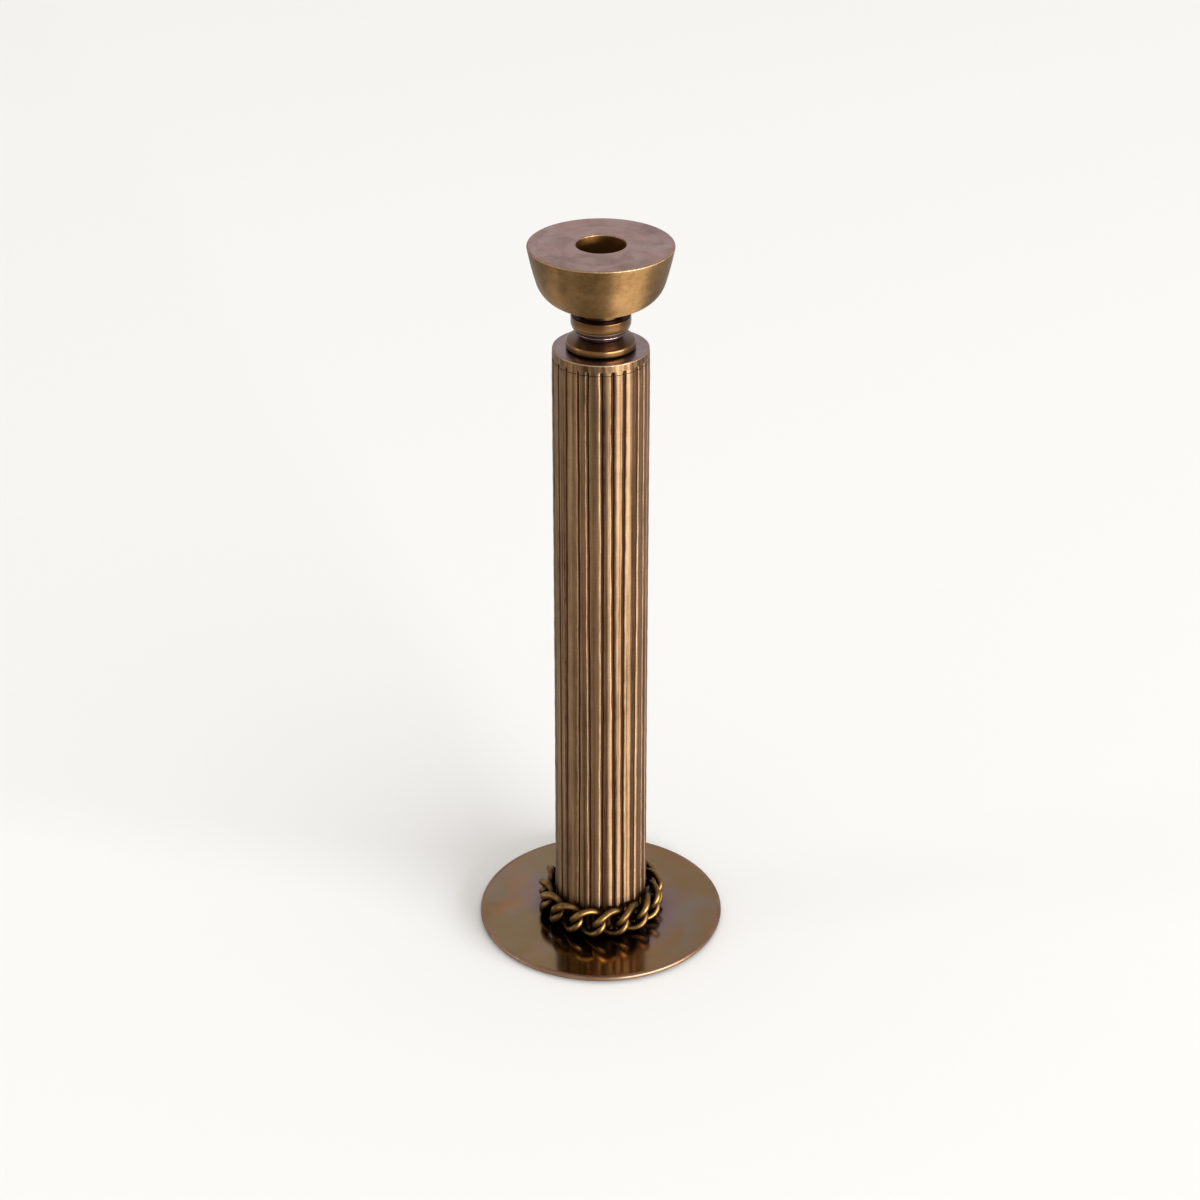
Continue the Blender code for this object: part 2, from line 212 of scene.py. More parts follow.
def bezier(start, handle_a, handle_b, end, steps):
    """Points of (radius, height) along a cubic curve, without its first point."""
    points = []
    for step in range(1, steps + 1):
        t = step / steps
        weights = ((1 - t) ** 3, 3 * t * (1 - t) ** 2, 3 * t * t * (1 - t), t ** 3)
        corners = (start, handle_a, handle_b, end)
        points.append(tuple(sum(w * c[i] for w, c in zip(weights, corners)) for i in (0, 1)))
    return points


def run(start, end, steps):
    """Points of (radius, height) along a straight line, without its first point."""
    return [tuple(s + (e - s) * step / steps for s, e in zip(start, end)) for step in range(1, steps + 1)]


def below(top, points):
    """Turn (radius, depth) into (radius, height)."""
    return [(radius, top - depth) for radius, depth in points]


def make_piece(name, points, faces, body, node, sharp=SHARP_ANGLE):
    """A smooth-shaded mesh piece that rides on a body and stands for a CAD node."""
    mesh = bpy.data.meshes.new(name)
    mesh.from_pydata([tuple(p) for p in points], [], faces)
    mesh.validate()
    mesh.shade_smooth()
    mesh.set_sharp_from_angle(angle=sharp)
    piece = bpy.data.objects.new(name, mesh)
    bpy.context.scene.collection.objects.link(piece)
    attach(piece, body)
    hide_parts(node)
    return piece


def ring_faces(rings, sides, closed):
    """Quads between rings of equally many points, stacked from the top down, facing out."""
    faces = []
    for ring in range(rings if closed else rings - 1):
        here = ring * sides
        lower = (ring + 1) % rings * sides
        for side in range(sides):
            following = (side + 1) % sides
            faces.append((here + side, lower + side, lower + following, here + following))
    return faces


def close_ends(points, faces, sides, top, bottom):
    """Close a stack of rings with a point on the axis at either end."""
    last = len(points) - sides
    upper, lower = len(points), len(points) + 1
    points += [(0, 0, top), (0, 0, bottom)]
    for side in range(sides):
        following = (side + 1) % sides
        faces.append((upper, side, following))
        faces.append((lower, last + following, last + side))


def turned(name, profile, sides, node):
    """Spin a profile of (radius, height) points, given from the top down its outer side.

    A profile that starts and ends on the axis makes a solid, any other a ring.
    """
    solid = profile[0][0] == 0
    rings = profile[1:-1] if solid else profile
    angles = [tau * side / sides for side in range(sides)]
    points = [(r * cos(a), r * sin(a), z) for r, z in rings for a in angles]
    faces = ring_faces(len(rings), sides, closed=not solid)
    if solid:
        close_ends(points, faces, sides, profile[0][1], profile[-1][1])
    return make_piece(name, points, faces, "stand", node)


def give(piece, *materials):
    """Replace a piece's material slots."""
    piece.data.materials.clear()
    for material in materials:
        piece.data.materials.append(material)


def paint_faces(piece, index, wanted):
    """Give a material slot to the faces whose centre passes a test."""
    for face in piece.data.polygons:
        if wanted(face.center):
            face.material_index = index


# --- Node helpers --------------------------------------------------------------------


Place = namedtuple("Place", "x y z radius")


class Surface:
    """A Principled material and the nodes that drive it. Positions are object coordinates."""

    def __init__(self, name, metallic, roughness, **sockets):
        self.material = bpy.data.materials.new(name)
        self.material.use_nodes = True
        self.tree = self.material.node_tree
        self.shader = self.tree.nodes["Principled BSDF"]
        self.shader.inputs["Metallic"].default_value = metallic
        self.shader.inputs["Roughness"].default_value = roughness
        for socket, value in sockets.items():
            self.shader.inputs[socket.replace("_", " ")].default_value = value
        self.position = self.add("ShaderNodeTexCoord").outputs["Object"]
        self.color = None

    def add(self, kind, inputs=None, **settings):
        node = self.tree.nodes.new(kind)
        for setting, value in settings.items():
            setattr(node, setting, value)
        for socket, value in (inputs or {}).items():
            if isinstance(value, bpy.types.NodeSocket):
                self.tree.links.new(value, node.inputs[socket])
            else:
                node.inputs[socket].default_value = value
        return node

    def set(self, socket, value):
        self.tree.links.new(value, self.shader.inputs[socket])

    def paint(self, color):
        """Set the base colour, and keep it for a later layer to go over."""
        self.color = color
        self.set("Base Color", color)

    def math(self, operation, first, second=0.0, third=0.0, clamp=False):
        sockets = {0: first, 1: second, 2: third}
        return self.add("ShaderNodeMath", sockets, operation=operation, use_clamp=clamp).outputs[0]

    def times(self, first, second):
        return self.math("MULTIPLY", first, second)

    def noise(self, scale, detail=3.0, roughness=0.5, vector=None, distortion=0.0):
        sockets = {
            "Vector": vector or self.position,
            "Scale": scale,
            "Detail": detail,
            "Roughness": roughness,
            "Distortion": distortion,
        }
        return self.add("ShaderNodeTexNoise", sockets).outputs["Fac"]

    def spread(self, value, low, high, to_low=0.0, to_high=1.0):
        """Stretch a value from one range to another, held inside it."""
        sockets = {"Value": value, "From Min": low, "From Max": high, "To Min": to_low, "To Max": to_high}
        node = self.add("ShaderNodeMapRange", sockets, interpolation_type="SMOOTHSTEP")
        return node.outputs["Result"]

    def mix(self, factor, first, second):
        """Go from the first colour to the second as the factor goes from 0 to 1."""
        node = self.add("ShaderNodeMix", data_type="RGBA", blend_type="MIX")
        for socket, value in ((0, factor), (6, first), (7, second)):
            if isinstance(value, bpy.types.NodeSocket):
                self.tree.links.new(value, node.inputs[socket])
            elif socket == 0:
                node.inputs[socket].default_value = value
            else:
                node.inputs[socket].default_value = (*value, 1.0)
        return node.outputs[2]

    def place(self):
        """X, Y and Z of a spot, and its distance from the Z axis."""
        split = self.add("ShaderNodeSeparateXYZ", {"Vector": self.position}).outputs
        flat = self.add("ShaderNodeCombineXYZ", {"X": split["X"], "Y": split["Y"], "Z": 0.0})
        length = self.add("ShaderNodeVectorMath", {0: flat.outputs[0]}, operation="LENGTH")
        return Place(split["X"], split["Y"], split["Z"], length.outputs["Value"])

    def turned_lines(self, fineness, along):
        """Noise drawn out around the Z axis, as a lathe or an abrasive belt leaves it."""
        place = self.place()
        sockets = {
            "X": self.math("ADD", self.times(place.radius, fineness), self.times(place.x, along)),
            "Y": self.times(place.z, fineness),
            "Z": self.times(place.y, along),
        }
        vector = self.add("ShaderNodeCombineXYZ", sockets).outputs[0]
        return self.noise(1.0, detail=4.0, roughness=0.6, vector=vector)

    def scaled(self, across, along):
        """The position, scaled by one factor across the Z axis and by another along it."""
        place = self.place()
        sockets = {
            "X": self.times(place.x, across),
            "Y": self.times(place.y, across),
            "Z": self.times(place.z, along),
        }
        return self.add("ShaderNodeCombineXYZ", sockets).outputs[0]

    def shade_in_hollows(self, distance, enclosed, open_air, most):
        """Painted shade: up to most where a spot is shut in by what is within a distance, 0 in the open."""
        node = self.add("ShaderNodeAmbientOcclusion", {"Distance": distance}, samples=8)
        return self.spread(node.outputs["AO"], enclosed, open_air, most, 0.0)

    def blend(self, *shares):
        """The clamped sum of several (value, weight) shares."""
        total = 0.0
        for value, weight in shares:
            total = self.math("MULTIPLY_ADD", value, weight, total)
        return self.math("ADD", total, 0.0, clamp=True)

    def bump(self, height, distance, over=None):
        sockets = {"Height": height, "Distance": distance}
        if over is not None:
            sockets["Normal"] = over
        return self.add("ShaderNodeBump", sockets).outputs["Normal"]

    def brushed(self, amount):
        """Stretch reflections across lines that run round the Z axis."""
        self.shader.inputs["Anisotropic"].default_value = amount
        self.shader.inputs["Anisotropic Rotation"].default_value = 0.25
        tangent = self.add("ShaderNodeTangent", direction_type="RADIAL", axis="Z")
        self.set("Tangent", tangent.outputs[0])

    def lacquered(self, weight=LACQUER, roughness=LACQUER_ROUGHNESS):
        """A thin clear lacquer over the patina."""
        self.shader.inputs["Coat Weight"].default_value = weight
        self.shader.inputs["Coat Roughness"].default_value = roughness


# --- Materials -----------------------------------------------------------------------


def turned_brass(name, bright, deep, soot_and_shade, roughness, stretch, shade=4 * MM, grain=0.02 * MM):
    """Brass turned on a lathe, darkened with patina and rubbed back to the metal.

    It is painted its soot_and_shade colour, sooty patina with painted shade, where it is
    shut in within the shade distance. Stretch is how far highlights are drawn out across the
    turned lines, and grain is the lines' depth.
    """
    surface = Surface(name, 1.0, roughness)
    blotch = surface.spread(surface.noise(55, 4, 0.55), 0.36, 0.66)
    speck = surface.spread(surface.noise(420, 3, 0.6), 0.4, 0.75)
    scratch = surface.turned_lines(2600, 60)
    band = surface.turned_lines(900, 25)
    tone = surface.blend((blotch, 0.5), (speck, 0.22), (scratch, 0.25), (band, 0.3), (1.0, -0.08))
    color = surface.mix(tone, bright, deep)
    # Painted shade, with sooty patina, where nearby parts shut the brass in.
    surface.paint(surface.mix(surface.shade_in_hollows(shade, 0.15, 0.85, 1.0), color, soot_and_shade))
    surface.set("Roughness", surface.blend((scratch, 0.12), (blotch, 0.06), (1.0, roughness - 0.08)))
    surface.set("Normal", surface.bump(scratch, grain))
    surface.brushed(stretch)
    surface.lacquered()
    return surface


def cup_brass():
    """The bowl's satin outside, painted darker as shade where it is shut in, most under the bowl by the stem.
    """
    bright, deep, soot_and_shade = (0.268, 0.15, 0.056), (0.105, 0.053, 0.014), (0.03, 0.012, 0.005)
    return turned_brass("cup_brass", bright, deep, soot_and_shade, roughness=0.5, stretch=0.92, shade=9 * MM).material


def rim_brass():
    """The plate's rim, rubbed brighter and pinker than its face."""
    bright, deep, soot_and_shade = (0.31, 0.185, 0.105), (0.19, 0.10, 0.05), (0.05, 0.02, 0.01)
    return turned_brass("rim_brass", bright, deep, soot_and_shade, roughness=0.4, stretch=0.5).material


def bore_shade_brass():
    """Inside of the candle bore: brass painted dark and matt as the bore's shade."""
    bright, deep, soot_and_shade = (0.16, 0.068, 0.016), (0.07, 0.027, 0.005), (0.04, 0.013, 0.001)
    return turned_brass("bore_shade_brass", bright, deep, soot_and_shade, roughness=0.58, stretch=0.5).material


def worn_edge():
    """Edges where handling has rubbed the patina down to yellow brass, with small nicks."""
    yellow, brown = (0.40, 0.27, 0.145), (0.20, 0.12, 0.055)
    surface = Surface("worn_brass_edge", 1.0, 0.5)
    nick = surface.spread(surface.noise(900, 3, 0.6), 0.35, 0.6)
    patch = surface.spread(surface.noise(130, 3, 0.5), 0.35, 0.65)
    surface.paint(surface.mix(surface.blend((nick, 0.45), (patch, 0.45)), yellow, brown))
    surface.set("Roughness", surface.blend((nick, 0.15), (1.0, 0.42)))
    surface.set("Normal", surface.bump(nick, 0.02 * MM))
    return surface.material


def polished_neck():
    """Neck and flange: polished golden brass, with a painted shadow of the cup on the knop's upper band, a
    painted dark reflection on the flange's shoulder and a painted silvery plum reflection where the knop
    tucks in.
    """
    bright, deep, soot_and_shade = (0.205, 0.11, 0.034), (0.105, 0.051, 0.015), (0.06, 0.025, 0.006)
    shoulder_reflection_brown, cup_shadow_brown, plum = (0.085, 0.04, 0.014), (0.06, 0.024, 0.006), (0.24, 0.18, 0.165)
    surface = turned_brass(
        "neck_brass", bright, deep, soot_and_shade, roughness=0.3, stretch=0.5, shade=9 * MM, grain=0.004 * MM
    )
    z = surface.place().z
    tuck_top = KNOP_HIGH.z - KNOP_STEP[0]
    seam_low, seam_high = RING_HIGH.z, RING_HIGH.z + 0.2 * MM
    # Painted dark reflection of the knop and cup undersides on the flange's shoulder.
    shoulder = surface.times(
        surface.spread(z, RING_HIGH.z - 2.0 * MM, RING_HIGH.z - 1.0 * MM, 0.0, 0.65),
        surface.spread(z, seam_low, seam_high, 1.0, 0.0),
    )
    # Painted shadow of the cup on the knop's upper band.
    cup_shadow = surface.spread(z, KNOP_HIGH.z - 4.6 * MM, KNOP_HIGH.z - 0.6 * MM, 0.0, 0.82)
    # Painted silvery plum reflection on the knop's lower half, where it tucks in.
    tuck = surface.times(
        surface.spread(z, tuck_top - 0.5 * MM, tuck_top, 1.0, 0.0),
        surface.spread(z, seam_low, seam_high),
    )
    color = surface.mix(shoulder, surface.color, shoulder_reflection_brown)
    color = surface.mix(cup_shadow, color, cup_shadow_brown)
    surface.paint(surface.mix(surface.times(tuck, 0.85), color, plum))
    return surface.material


def chased_brass():
    """The column's brass: belt-rubbed ribs, sooty brown flutes, faint cross marks, and painted shade where it
    is shut in and on its foot behind the chain.
    """
    rubbed, brown, worn_gold = (0.275, 0.165, 0.077), (0.07, 0.032, 0.008), (0.36, 0.235, 0.125)
    flute_side, flute_floor, soot_and_shade = (0.15, 0.078, 0.05), (0.07, 0.026, 0.01), (0.028, 0.011, 0.004)
    surface = Surface("chased_brass", 1.0, 0.5)
    blotch = surface.spread(surface.noise(38, 4, 0.55), 0.35, 0.68)
    streak = surface.spread(surface.noise(1.0, 3, 0.55, vector=surface.scaled(260, 26)), 0.35, 0.7)
    hair = surface.spread(surface.noise(1.0, 3, 0.6, vector=surface.scaled(1500, 14)), 0.35, 0.7)
    scratch = surface.turned_lines(1500, 90)
    belt = surface.spread(surface.noise(1.0, 2, 0.5, vector=surface.scaled(560, 3)), 0.36, 0.64)
    marks = ((blotch, 0.2), (streak, 0.2), (belt, 0.7), (hair, 0.3), (scratch, 0.32))
    tone = surface.blend(*marks, (1.0, -0.27))
    color = surface.mix(tone, rubbed, brown)
    edge = surface.add("ShaderNodeAttribute", attribute_name="rib_edge").outputs["Fac"]
    worn = surface.times(edge, surface.spread(surface.noise(150, 3), 0.35, 0.65))
    color = surface.mix(surface.times(worn, 0.5), color, worn_gold)
    flute = surface.add("ShaderNodeAttribute", attribute_name="flute").outputs["Fac"]
    color = surface.mix(surface.spread(flute, 0.0, 0.4, 0.0, 0.55), color, flute_side)
    color = surface.mix(surface.spread(flute, 0.35, 1.0, 0.0, 0.95), color, flute_floor)
    # Painted shade where the column is shut in, and on its foot behind the chain, darkest at the bottom.
    shut = surface.shade_in_hollows(9 * MM, 0.3, 0.8, 0.96)
    z = surface.place().z
    foot = surface.spread(z, COLUMN_FOOT + FOOT_SHADE_TOP, COLUMN_FOOT + FOOT_SHADE_FULL, 0.0, 0.93)
    dark = surface.math("MAXIMUM", shut, foot)
    surface.paint(surface.mix(dark, color, soot_and_shade))
    surface.set("Roughness", surface.blend((scratch, 0.14), (flute, 0.1), (1.0, 0.46)))
    cross_marks = surface.bump(scratch, 0.03 * MM)
    hair_lines = surface.bump(hair, 0.01 * MM, over=cross_marks)
    surface.set("Normal", surface.bump(surface.noise(190, 2, 0.4), 0.07 * MM, over=hair_lines))
    surface.brushed(0.92)
    surface.lacquered()
    bare = surface.math("MAXIMUM", flute, dark)
    surface.set("Coat Weight", surface.math("MULTIPLY_ADD", bare, -LACQUER, LACQUER, clamp=True))
    return surface.material


def satin_top(name, roughness, light, deep, warm):
    """Flat turned faces: satin, with a plum-grey bloom in clouds, faint turned rings and painted shade where
    they are shut in.
    """
    stain_brown, scratch_brown, soot_and_shade = (0.14, 0.08, 0.055), (0.20, 0.13, 0.09), (0.10, 0.045, 0.018)
    surface = Surface(name, 1.0, roughness)
    cloud = surface.spread(surface.noise(85, 5, 0.6, distortion=0.6), 0.36, 0.66)
    flush = surface.spread(surface.noise(60, 3, 0.5), 0.45, 0.7)
    rings = surface.spread(surface.turned_lines(750, 22), 0.35, 0.65)
    scratch = surface.turned_lines(3200, 40)
    stain = surface.spread(surface.noise(70, 4, 0.6), 0.56, 0.76)
    color = surface.mix(surface.blend((cloud, 0.75), (rings, 0.35), (1.0, -0.05)), light, deep)
    color = surface.mix(surface.times(flush, 0.5), color, warm)
    color = surface.mix(surface.times(stain, 0.5), color, stain_brown)
    color = surface.mix(surface.times(scratch, 0.16), color, scratch_brown)
    # Painted shade where the face is shut in, as round the neck's flange on the cap.
    surface.paint(surface.mix(surface.shade_in_hollows(7 * MM, 0.1, 0.8, 0.8), color, soot_and_shade))
    surface.set("Roughness", surface.blend((scratch, 0.12), (cloud, 0.08), (1.0, roughness - 0.06)))
    surface.set("Normal", surface.bump(scratch, 0.012 * MM))
    surface.brushed(0.4)
    surface.lacquered(0.3, 0.4)
    return surface.material


def cup_satin():
    light, deep, warm = (0.39, 0.25, 0.185), (0.25, 0.145, 0.095), (0.41, 0.225, 0.165)
    return satin_top("cup_satin", 0.38, light, deep, warm)


def cap_satin():
    light, deep, warm = (0.27, 0.18, 0.15), (0.19, 0.12, 0.09), (0.24, 0.165, 0.165)
    return satin_top("cap_satin", 0.16, light, deep, warm)


def heat_tinted_mirror():
    """The plate: cloudy mirror of bronze with grey-olive, orange and plum heat tints, and painted shade where
    the column and chain shut it in.
    """
    olive, bronze, warm_brown = (0.245, 0.178, 0.088), (0.212, 0.136, 0.048), (0.225, 0.13, 0.05)
    grey, slate, orange = (0.235, 0.205, 0.14), (0.20, 0.185, 0.15), (0.34, 0.165, 0.068)
    plum, soot_and_shade = (0.195, 0.145, 0.175), (0.035, 0.012, 0.003)
    surface = Surface("heat_tinted_bronze", 1.0, 0.18)
    place = surface.place()
    inner = surface.spread(place.radius, 48 * MM, 30 * MM)
    outer = surface.spread(place.radius, 28 * MM, 44 * MM)
    base = surface.spread(surface.noise(18, 3, 0.5, distortion=0.6), 0.34, 0.66)
    color = surface.mix(base, olive, bronze)
    greyed = surface.spread(surface.noise(24, 3, 0.5, distortion=0.6), 0.4, 0.7)
    color = surface.mix(surface.times(greyed, 0.75), color, grey)
    heated = surface.spread(surface.noise(21, 3, 0.5, distortion=0.6), 0.44, 0.72)
    color = surface.mix(surface.times(heated, surface.times(outer, 0.8)), color, orange)
    to_right = surface.spread(place.x, -10 * MM, 50 * MM, 0.0, 0.7)
    color = surface.mix(to_right, color, warm_brown)
    flushed = surface.times(inner, surface.spread(surface.noise(40, 3, 0.5), 0.36, 0.56))
    color = surface.mix(surface.times(flushed, 0.6), color, plum)
    cooled = surface.spread(surface.noise(36, 3, 0.5, distortion=0.5), 0.48, 0.74)
    color = surface.mix(surface.times(cooled, surface.times(outer, 0.5)), color, slate)
    # Painted shade round the column and under the chain, where the plate is shut in.
    surface.paint(surface.mix(surface.shade_in_hollows(16 * MM, 0.15, 0.8, 0.92), color, soot_and_shade))
    smear = surface.spread(surface.noise(30, 5, 0.65), 0.35, 0.75)
    scratch = surface.turned_lines(2200, 30)
    surface.set("Roughness", surface.blend((smear, 0.10), (scratch, 0.05), (1.0, 0.085)))
    surface.set("Normal", surface.bump(surface.noise(22, 2, 0.4), 0.05 * MM))
    return surface.material


def rubbed_chain():
    """Chain wire: painted shade, nearly black, in the crossings and where the links are shut in; rubbed to
    yellow brass outside.
    """
    gold, brown, soot_and_shade = (0.225, 0.128, 0.034), (0.08, 0.037, 0.009), (0.012, 0.004, 0.001)
    surface = Surface("rubbed_chain_brass", 1.0, 0.3)
    blotch = surface.spread(surface.noise(210, 3, 0.55), 0.35, 0.7)
    color = surface.mix(blotch, gold, brown)
    # Painted shade in the crossings and against the column.
    surface.paint(surface.mix(surface.shade_in_hollows(9 * MM, 0.5, 0.9, 1.0), color, soot_and_shade))
    scratch = surface.noise(1400, 3, 0.6)
    surface.set("Roughness", surface.blend((scratch, 0.12), (blotch, 0.08), (1.0, 0.34)))
    surface.set("Normal", surface.bump(surface.noise(700, 3, 0.5), 0.03 * MM))
    surface.lacquered(0.06, 0.4)
    return surface.material


def plated_steel():
    """Zinc-plated steel of the hidden fixings."""
    surface = Surface("zinc_plated_steel", 1.0, 0.34)
    spangle = surface.add("ShaderNodeTexVoronoi", {"Vector": surface.position, "Scale": 520.0})
    tint = surface.spread(spangle.outputs["Distance"], 0.0, 0.9)
    surface.paint(surface.mix(tint, (0.62, 0.63, 0.65), (0.46, 0.47, 0.50)))
    scratch = surface.turned_lines(2400, 80)
    surface.set("Roughness", surface.blend((scratch, 0.2), (1.0, 0.25)))
    surface.set("Normal", surface.bump(scratch, 0.02 * MM))
    return surface.material


def wool_felt():
    """Dense black wool felt: matted fibres, a soft sheen."""
    surface = Surface("black_felt", 0.0, 0.95, Sheen_Weight=0.5, Sheen_Roughness=0.5)
    fibre = surface.noise(2600, 5, 0.7, distortion=1.5)
    clump = surface.noise(260, 3, 0.5)
    surface.paint(surface.mix(surface.times(fibre, clump), (0.012, 0.012, 0.014), (0.07, 0.068, 0.072)))
    surface.set("Normal", surface.bump(fibre, 0.15 * MM))
    return surface.material


# --- Column --------------------------------------------------------------------------


def share_up(height):
    """How far up the column a height is: 0 at its foot, 1 at its top."""
    return (height - COLUMN_FOOT) / (COLUMN_TOP - COLUMN_FOOT)


def column_radius(height):
    """Radius over the ribs: almost straight, a little wider at the foot."""
    foot = FOOT_SWELL * (1 - share_up(height)) ** 3
    shoulder = max(0.0, (height - (COLUMN_TOP - SHOULDER_LENGTH)) / SHOULDER_LENGTH)
    return COLUMN_RADIUS + foot - SHOULDER_NARROWING * shoulder ** 2


def flute_middle(index, height):
    """Angle of a flute's middle: hand-chased, so it wanders by a degree or two."""
    even = tau * index / FLUTES - pi / 2
    stray = STRAY * sin(STRAY_STEP * index + STRAY_START)
    return even + stray + DRIFT * sin(DRIFT_STEP * index + DRIFT_CLIMB * share_up(height))


class Wave:
    """A smooth random line along the column, as a sum of a few sines."""

    def __init__(self, source, size, lengths):
        self.sines = [(size * source.uniform(0.5, 1.0), length, source.uniform(0, tau)) for length in lengths]

    def at(self, height):
        return sum(size * sin(tau * height / length + phase) for size, length, phase in self.sines)


class Chasing:
    """The hand-worked irregularity of every flute and rib."""

    def __init__(self):
        source = random.Random(CHASING_SEED)
        self.sway = [Wave(source, SWAY, SWAY_LENGTHS) for _ in range(FLUTES)]
        self.width = [Wave(source, WIDTH_CHANGE, WIDTH_LENGTHS) for _ in range(FLUTES)]
        self.swell = [Wave(source, SWELL, SWELL_LENGTHS) for _ in range(FLUTES)]

    def middle(self, index, height):
        return flute_middle(index, height) + self.sway[index].at(height)

    def half_angle(self, index, height):
        return FLUTE_HALF_ANGLE * (1 + self.width[index].at(height))

    def rib_swell(self, index, height):
        return self.swell[index].at(height)


CHASING = Chasing()


def across_flute(middle, half, outer, opening):
    """(angle, radius, soot, wear) of the points across one flute."""
    crown = RIB_CROWN * min(1.0, opening * CROWN_OPENS)
    deepest = FLUTE_DEPTH * min(1.0, opening * DEPTH_OPENS)
    blackest = min(1.0, opening * SOOT_OPENS)
    found = []
    for step in FLUTE_STEPS:
        hollow = 1 - step ** 2
        depth = crown + deepest * hollow ** FLUTE_ROUNDNESS
        found.append((middle + half * step, outer - depth, blackest * hollow ** SOOT_ROUNDNESS, 0.0))
    return found


def across_rib(start, end, outer, swell, opening):
    """(angle, radius, soot, wear) of the points across one rib, edges included."""
    crown = RIB_CROWN * min(1.0, opening * CROWN_OPENS)
    found = []
    for step in RIB_STEPS:
        angle = (start + end) / 2 + (end - start) / 2 * step
        rise = swell * (1 - step ** 4) * min(1.0, opening)
        drop = crown * (step ** 2 + step ** 6) / 2
        wear = max(0.0, 1 - abs(abs(step) - WORN_STEP) / WORN_REACH)
        soot_and_shade = RIB_SOOT * opening if abs(step) == 1 else 0.0
        found.append((angle, outer - drop + rise, soot_and_shade, wear))
    return found


def section(height, opening=1.0):
    """One turn round the column: its points, and how sooty and how worn each of them is.

    opening is 1 along the flutes and falls to 0 where their round ends close.
    """
    outer = column_radius(height)
    width = max(opening, LEAST_OPENING)
    found = []
    for index in range(FLUTES):
        following = (index + 1) % FLUTES
        middle = CHASING.middle(index, height)
        half = CHASING.half_angle(index, height) * width
        next_middle = CHASING.middle(following, height) + (tau if following == 0 else 0.0)
        next_half = CHASING.half_angle(following, height) * width
        swell = CHASING.rib_swell(index, height)
        found += across_flute(middle, half, outer, opening)
        found += across_rib(middle + half, next_middle - next_half, outer, swell, opening)
    angles, radii, soot_and_shade, wear = zip(*found)
    points = [(r * cos(a), r * sin(a), height) for a, r in zip(angles, radii)]
    return points, soot_and_shade, wear


def plain_ring(height, radius, like):
    """A round section, without soot or wear, whose points line up with a fluted one."""
    angles = [atan2(y, x) for x, y, z in like]
    points = [(radius * cos(a), radius * sin(a), height) for a in angles]
    nothing = [0.0] * len(points)
    return points, nothing, nothing


def lofted(name, sections, node):
    """Join sections, listed from the top down, and keep each point's soot and wear."""
    rings, soot_and_shade, wear = zip(*sections)
    points = [point for ring in rings for point in ring]
    faces = ring_faces(len(rings), SECTION_POINTS, closed=True)
    piece = make_piece(name, points, faces, "stand", node, FLUTED_SHARP_ANGLE)
    for label, marks in (("flute", soot_and_shade), ("rib_edge", wear)):
        kept = piece.data.attributes.new(label, "FLOAT", "POINT")
        kept.data.foreach_set("value", np.array(marks, np.float32).ravel())
    return piece


def column_sleeve(material):
    """Fluted tube, open at both ends."""
    top, bottom = SLEEVE_HIGH.z, SLEEVE_LOW.z
    heights = [top - (top - bottom) * band / SLEEVE_BANDS for band in range(SLEEVE_BANDS + 1)]
    outside = [section(height) for height in heights]
    bore = [
        plain_ring(bottom, SLEEVE_BORE, outside[-1][0]),
        plain_ring(top, SLEEVE_BORE, outside[0][0]),
    ]
    give(lofted("fluted_sleeve", outside + bore, "column_sleeve"), material)


def column_cap(side, top_face, rim):
    """Cap disc: the flutes end in its rim in round tips."""
    base = COLUMN_TOP - CAP_RIM
    tip = COLUMN_TOP - FLUTE_END
    like = section(base)[0]
    rim_radius = column_radius(COLUMN_TOP - CAP_CHAMFER)
    outline = [(COLUMN_TOP, HOLE_RADIUS)]
    for inset, depth in CAP_EDGE:
        outline.append((COLUMN_TOP - CAP_CHAMFER * depth, rim_radius - CAP_CHAMFER * inset))
    outline.append((tip + TIP_MARGIN, column_radius(tip)))
    sections = [plain_ring(height, radius, like) for height, radius in outline]
    for share in TIP_SHARES:
        sections.append(section(tip - TIP_LENGTH * share, sqrt(1 - (1 - share) ** 2)))
    sections.append(section((tip - TIP_LENGTH + base) / 2))
    sections.append(section(base))
    spigot = ((base, SPIGOT_RADIUS), (CAP_LOW.z, SPIGOT_RADIUS), (CAP_LOW.z, HOLE_RADIUS))
    sections += [plain_ring(height, radius, like) for height, radius in spigot]
    piece = lofted("column_cap_disc", sections, "column_cap")
    give(piece, side, top_face, rim)
    flat = COLUMN_TOP - TOUCH
    paint_faces(piece, 1, lambda centre: centre.z > flat)
    paint_faces(piece, 2, lambda centre: COLUMN_TOP - CAP_CHAMFER < centre.z < flat)


# --- Foot ----------------------------------------------------------------------------


def base_plate(material, rim):
    """Thin disc with a softly rolled rim, countersunk from below."""
    radius, edge = PLATE_HIGH.x, PLATE_EDGE
    profile = [(HOLE_RADIUS, PLATE_HIGH.z)]
    profile += run(profile[-1], (radius - edge * 2, PLATE_HIGH.z), steps=24)
    profile += arc(radius - edge, PLATE_HIGH.z - edge, edge, 90, 0, steps=8)
    profile += arc(radius - edge, PLATE_LOW.z + edge, edge, 0, -90, steps=8)
    profile += [(SINK_RADIUS, PLATE_LOW.z), (HOLE_RADIUS, PLATE_LOW.z + SINK_RADIUS - HOLE_RADIUS)]
    piece = turned("round_plate", profile, DISC_SIDES, "base_plate")
    give(piece, material, rim)
    paint_faces(piece, 1, lambda centre: centre.xy.length > radius - PLATE_RIM)


